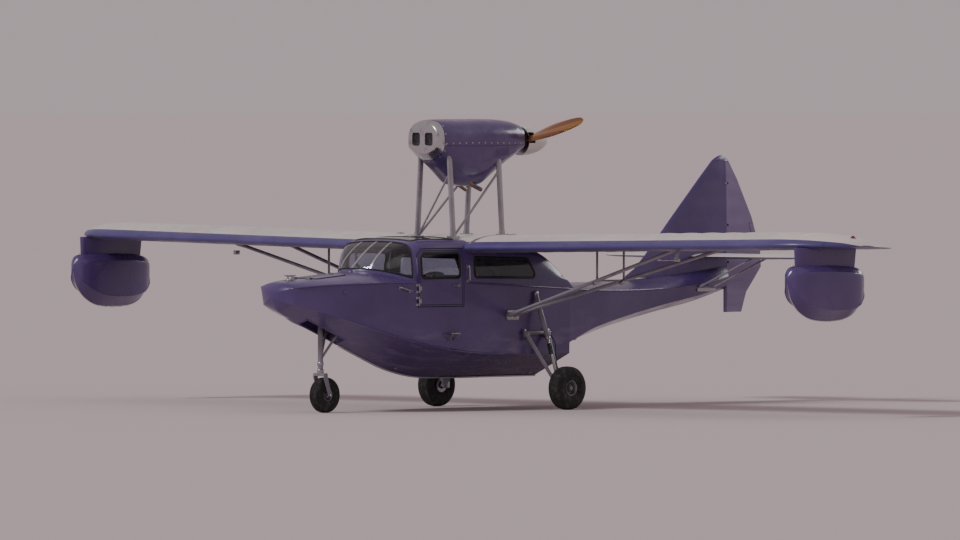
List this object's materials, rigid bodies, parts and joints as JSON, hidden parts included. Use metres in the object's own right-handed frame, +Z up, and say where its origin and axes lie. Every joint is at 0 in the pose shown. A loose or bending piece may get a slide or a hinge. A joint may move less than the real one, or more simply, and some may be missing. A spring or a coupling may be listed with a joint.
{
  "type": "small amphibious flying boat",
  "caption": "Two-seat amphibious flying boat: planing hull, strut-braced high wing with tip floats, pusher engine on struts above the wing, tricycle landing gear.",
  "frame": {"origin": "on the ground under the middle of the aircraft's length and span", "axes": "+X towards the left wing tip, +Y towards the tail, +Z up"},
  "size_m": [11.1, 7.14, 2.9951],
  "materials": {
    "hull_paint": "gloss indigo paint on plywood",
    "window": "clear",
    "wing_skin": "doped fabric, light silver",
    "fin_skin": "doped fabric, indigo",
    "cowl_paint": "indigo paint on sheet aluminium",
    "bare_aluminium": "satin",
    "strut_metal": "grey paint",
    "gear_steel": "grey paint",
    "tyre": "matt",
    "propeller_wood": "varnished",
    "spinner_paint": "satin",
    "floor_wood": "matt",
    "seat_fabric": "woven",
    "panel_black": "matt black"
  },
  "bodies": {
    "airframe": {"hull_forebody": "hull_paint", "hull_afterbody": "hull_paint", "fore_deck": "hull_paint", "aft_deck": "hull_paint", "keel_strip": "gear_steel", "canopy_frame": "hull_paint", "windshield": "window", "skylight": "window", "cabin_rear": "hull_paint", "rear_window_left": "window", "rear_window_right": "window", "cabin_floor": "floor_wood", "instrument_panel": "panel_black", "seat_left": "seat_fabric", "seat_right": "seat_fabric", "control_sticks": "panel_black", "wing_center": "wing_skin", "wing_left": "wing_skin", "wing_right": "wing_skin", "wing_struts_left": "strut_metal", "wing_struts_right": "strut_metal", "tip_float_left": "hull_paint", "tip_float_right": "hull_paint", "float_pylon_left": "hull_paint", "float_pylon_right": "hull_paint", "engine_frame": "strut_metal", "engine": "bare_aluminium", "nose_bowl": "bare_aluminium", "cowling": "cowl_paint", "exhaust_left": "gear_steel", "exhaust_right": "gear_steel", "fin": "fin_skin", "tailplane": "wing_skin", "tail_brace_left": "strut_metal", "tail_brace_right": "strut_metal", "gear_leg_left": "gear_steel", "gear_leg_right": "gear_steel", "nose_leg": "gear_steel", "bow_cleat": "gear_steel"},
    "propeller_group": {"propeller": "propeller_wood", "spinner": "spinner_paint"},
    "left_wheel": {"wheel_left": "bare_aluminium", "tyre_left": "tyre"},
    "right_wheel": {"wheel_right": "bare_aluminium", "tyre_right": "tyre"},
    "nose_castor": {"nose_fork": "gear_steel"},
    "nose_wheel_group": {"nose_wheel": "bare_aluminium", "nose_tyre": "tyre"},
    "left_aileron": {"aileron_left": "wing_skin"},
    "right_aileron": {"aileron_right": "wing_skin"},
    "elevator_group": {"elevator": "wing_skin"},
    "rudder_group": {"rudder": "fin_skin"},
    "left_door": {"door_left": "hull_paint", "door_glass_left": "window"},
    "right_door": {"door_right": "hull_paint", "door_glass_right": "window"}
  },
  "joints": [
    {"name": "propeller_spin", "type": "hinge", "parent": "airframe", "child": "propeller_group", "pos_m": [0, 0.02, 2.75], "axis": [0, 1, 0], "continuous": true},
    {"name": "left_wheel_spin", "type": "hinge", "parent": "airframe", "child": "left_wheel", "pos_m": [0.95, -0.28, 0.2225], "axis": [1, 0, 0], "continuous": true},
    {"name": "right_wheel_spin", "type": "hinge", "parent": "airframe", "child": "right_wheel", "pos_m": [-0.95, -0.28, 0.2225], "axis": [1, 0, 0], "continuous": true},
    {"name": "nose_wheel_steer", "type": "hinge", "parent": "airframe", "child": "nose_castor", "pos_m": [0, -2.89, 0.42], "axis": [0, 0, 1], "range_deg": [-30, 30]},
    {"name": "nose_wheel_spin", "type": "hinge", "parent": "nose_castor", "child": "nose_wheel_group", "pos_m": [0, -2.83, 0.18], "axis": [1, 0, 0], "continuous": true},
    {"name": "left_aileron_hinge", "type": "hinge", "parent": "airframe", "child": "left_aileron", "pos_m": [3.885, -0.17, 1.71804], "axis": [0.9998, 0, 0.0175], "range_deg": [-20, 20]},
    {"name": "right_aileron_hinge", "type": "hinge", "parent": "airframe", "child": "right_aileron", "pos_m": [-3.885, -0.17, 1.71804], "axis": [0.9998, 0, -0.0175], "range_deg": [-20, 20]},
    {"name": "elevator_hinge", "type": "hinge", "parent": "airframe", "child": "elevator_group", "pos_m": [0, 2.98, 1.53], "axis": [1, 0, 0], "range_deg": [-22, 28]},
    {"name": "rudder_hinge", "type": "hinge", "parent": "airframe", "child": "rudder_group", "pos_m": [0, 3.04, 1.7], "axis": [0, 0, 1], "range_deg": [-25, 25]},
    {"name": "left_door_hinge", "type": "hinge", "parent": "airframe", "child": "left_door", "pos_m": [0.556, -2.023, 1.2], "axis": [0, 0, -1], "range_deg": [0, 75]},
    {"name": "right_door_hinge", "type": "hinge", "parent": "airframe", "child": "right_door", "pos_m": [-0.556, -2.023, 1.2], "axis": [0, 0, 1], "range_deg": [0, 75]}
  ],
  "couplings": [
    {"joint": "right_aileron_hinge", "follows": "left_aileron_hinge", "ratio": -1}
  ]
}
